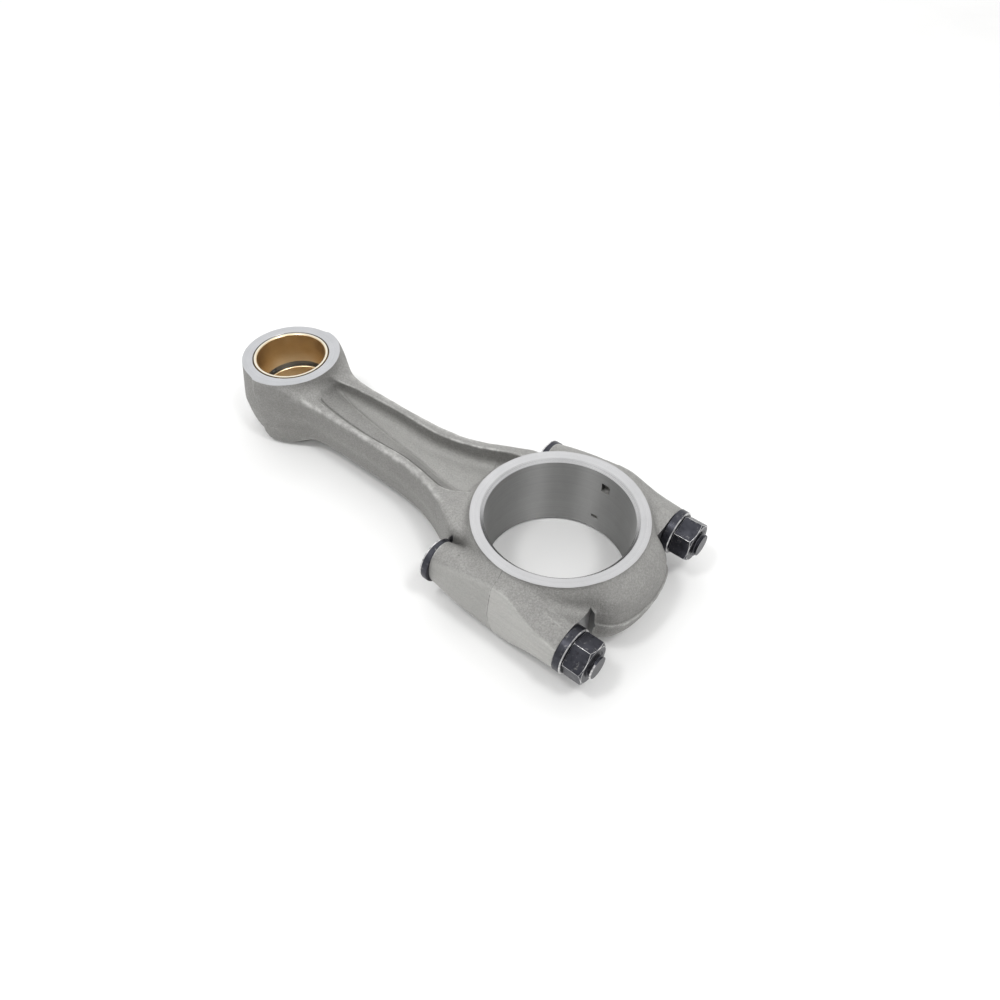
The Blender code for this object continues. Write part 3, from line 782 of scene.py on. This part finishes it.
def threaded(name, outline, start, end, depth, flat=None, fade=1.2):
    """Turned outline whose radius follows a thread between start and end, as one closed mesh."""
    segments, per_pitch = 72, 12
    radii, heights = np.array(outline, float).T
    rows = [(h, r) for r, h in outline]
    extra = np.arange(start, end, PITCH / per_pitch)
    between = [(h, float(np.interp(h, heights, radii))) for h in extra if min(abs(h - heights)) > 0.02]
    levels = sorted(rows + between)
    angles = np.arange(segments) * 2 * np.pi / segments
    rings = []
    for height, radius in levels:
        share = np.clip((height - start) / fade, 0, 1) * np.clip((end + 1.0 - height) / 0.8, 0, 1)
        r = radius + 0 * angles
        if start <= height <= end:
            r = radius - thread_depth(height, angles, depth) * share
        if flat is not None and height < flat[1]:
            r = np.minimum(r, flat[0] / np.maximum(np.cos(angles), 1e-3))
        rings.append([(q * np.cos(a), q * np.sin(a), height) for q, a in zip(r, angles)])
    return loft(name, rings)


OXIDE, RUBBED_AND_HIGHLIGHT, THREAD = oxide_finish(), rubbed_and_highlight_finish(), dark_thread()


PLAIN_FACE, RUBBED_AND_HIGHLIGHT_FACE, THREAD_FACE = range(3)


def black_part(name, mesh, place=None):
    for finish in (OXIDE, RUBBED_AND_HIGHLIGHT, THREAD):
        mesh.materials.append(finish)
    return add_object(name, mesh, place)


def bevel(obj, width):
    """Rounds the edges and gives them the rubbed finish with its painted highlight."""
    step = obj.modifiers.new("edges", "BEVEL")
    step.width = width
    step.segments = 2
    step.limit_method = "ANGLE"
    step.angle_limit = np.radians(25)
    step.material = RUBBED_AND_HIGHLIGHT_FACE
    bake(obj)


def make_head_bolt(word, side):
    """Through bolt: head with one flat, fitted bands, thinner waists and a threaded end."""
    under = HEAD_SEAT - 0.06
    head, fit, waist = 10.4, 6.2, 5.5
    outline = [(head - 1.5, under - 4.0), (head - 0.35, under - 3.85), (head, under - 3.5),
               (head, under - 2.95), (head, under - 0.45), (head - 0.3, under),
               (fit, under + 0.01), (fit, under + 9), (waist, under + 10), (waist, -10), (fit, -9),
               (fit, 9), (waist, 10), (waist, 21), (6.0, 22), (6.0, 50.4), (5.2, BOLT_END)]
    mesh = threaded("bolt", outline, 22.2, 51.0, 0.92, flat=(8.3, under))
    bolt = black_part(f"bolt_{word}_steel", mesh)
    bolt.matrix_world = at(0, side * BOLT_Y) @ ALONG_X @ Matrix.Rotation(np.radians(-90 * side), 4, "Z")
    return bolt


def make_washer(word, side):
    low, high, radius = WASHER_LOW, WASHER_HIGH, WASHER_R
    profile = [(6.35, low), (6.35, high - 0.5), (6.8, high), (radius - 0.75, high),
               (radius - 0.30, high - 0.12), (radius, high - 0.5), (radius, low + 0.4),
               (radius - 0.35, low)]
    mesh = turned("washer", profile, 96)
    return black_part(f"washer_{word}_steel", mesh, at(0, side * BOLT_Y) @ ALONG_X)


def make_nut(word, side):
    """Chamfered, tapped hexagon. Its thread starts a quarter pitch away from the bolt's."""
    low, high = NUT_LOW, NUT_HIGH
    corner = NUT_FLATS / np.sqrt(3)
    turn = np.radians(NUT_TURN) * -side
    angles = turn + np.radians(60) * np.arange(6)
    hexagon = [(corner * np.cos(a), corner * np.sin(a)) for a in angles]
    prism = loft("nut", [[(x, y, z) for x, y in hexagon] for z in (low, high)])
    nut = black_part(f"nut_{word}_steel", prism)
    outer = [(0, low - 1), (8.2, low - 1), (11.6, low + 1.0), (11.6, high - 1.45), (7.9, high + 0.45),
             (0, high + 0.45)]
    machine(nut, "INTERSECT", [black_part("turning", turned("turning", outer, 96))], "EXACT")
    bevel(nut, 0.22)
    tap = [(7.2, low - 1.0), (6.6, low), (6.12, low + 0.6), (6.12, high - 0.6), (6.75, high + 0.05),
           (7.4, high + 0.7)]
    cutter = black_part("tap", threaded("tap", tap, low - 1.0, high + 0.7, 0.80, fade=0.1))
    machine(nut, "DIFFERENCE", [cutter], "EXACT")
    nut.matrix_world = at(0, side * BOLT_Y) @ ALONG_X
    return nut


def paint_edges_and_threads(obj, rubbed_and_highlight_faces=None, thread_faces=None):
    """Adds rubbed edge faces with painted highlight, and threaded faces, chosen by their place along the
    bolt and from its axis.
    """
    mesh = obj.data
    kind = np.full(len(mesh.polygons), PLAIN_FACE, np.int32)
    mesh.polygons.foreach_get("material_index", kind)
    centre, normal = face_data(mesh)
    local = centre * 1000 - np.array([CRANK_X, 0, MIDDLE_Z])
    axial, radial = local[:, 0], np.hypot(np.abs(local[:, 1]) - BOLT_Y, local[:, 2])
    if rubbed_and_highlight_faces is not None:
        kind[rubbed_and_highlight_faces(axial, radial)] = RUBBED_AND_HIGHLIGHT_FACE
    if thread_faces is not None:
        kind[thread_faces(axial, radial)] = THREAD_FACE
    mesh.polygons.foreach_set("material_index", kind)


for word, side in SIDES:
    bolt, washer, nut = make_head_bolt(word, side), make_washer(word, side), make_nut(word, side)
    fastener = ((bolt, "rod", "bolt"), (washer, "cap", "washer"), (nut, f"nut_{word}", "nut"))
    for piece, body, node in fastener:
        finish_mesh(piece, 24)
        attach(piece, body)
        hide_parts(f"{node}_{word}")
    paint_edges_and_threads(bolt, lambda a, r: (a < HEAD_SEAT - 3.15) & (r > 9.7) | (a > 50.9) & (r > 5.3) & (a < 51.55),
               lambda a, r: (a > 20) & (a < 50.45) | (a > 51.55))
    paint_edges_and_threads(washer, lambda a, r: (a > NUT_SEAT + 3.85) & (r > 10.2))
    paint_edges_and_threads(nut, thread_faces=lambda a, r: r < 6.6)


# ---------------------------------------------------------------- floor and light
def add_stage():
    mesh = bpy.data.meshes.new("floor")
    r = FLOOR_REACH
    mesh.from_pydata([(-r, -r, 0), (r, -r, 0), (r, r, 0), (-r, r, 0)], [], [(0, 1, 2, 3)])
    floor = add_object("floor", mesh)
    f = Finish("paper")
    tone = f.mix(f.spread(f.noise(9, 4), 0.3, 0.7), (0.86, 0.86, 0.855), (0.89, 0.89, 0.885))
    mesh.materials.append(f.end(tone, 0.9, 0.0))
    floor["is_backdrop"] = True


def area(name, place, target, size, power):
    data = bpy.data.lights.new(name, "AREA")
    data.shape = "RECTANGLE"
    data.size, data.size_y = size
    data.energy = power
    lamp = bpy.data.objects.new(name, data)
    aim = Vector(target) - Vector(place)
    lamp.matrix_world = Matrix.Translation(place) @ aim.to_track_quat("-Z", "Y").to_matrix().to_4x4()
    bpy.context.scene.collection.objects.link(lamp)


def add_light():
    world = bpy.data.worlds.new("studio")
    world.use_nodes = True
    tree = world.node_tree
    background = tree.nodes["Background"]
    background.inputs["Color"].default_value = (1, 1, 1, 1)
    place = tree.nodes.new("ShaderNodeTexCoord")
    toward = tree.nodes.new("ShaderNodeVectorMath")
    toward.operation = "DOT_PRODUCT"
    toward.inputs[1].default_value = SKY_TOWARD
    fall = tree.nodes.new("ShaderNodeMapRange")
    fall.inputs["From Min"].default_value = -0.35
    fall.inputs["From Max"].default_value = 1.0
    fall.inputs["To Min"].default_value = SKY_LOW
    fall.inputs["To Max"].default_value = SKY_HIGH
    tree.links.new(place.outputs["Generated"], toward.inputs[0])
    tree.links.new(toward.outputs["Value"], fall.inputs["Value"])
    tree.links.new(fall.outputs["Result"], background.inputs["Strength"])
    bpy.context.scene.world = world
    area("overhead", OVERHEAD_PLACE, (0, 0, 0), OVERHEAD_SIZE, OVERHEAD_POWER)
    middle = Vector((CRANK_X / 1000, 0, 0.03))
    for name, toward_lamp in LAMP_TOWARD.items():
        area(name, middle + Vector(toward_lamp) * LAMP_DISTANCE, middle, LAMP_SIZE, LAMP_POWER)
    bpy.context.scene.view_settings.view_transform = "Standard"


add_camera()
add_stage()
add_light()

low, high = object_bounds()
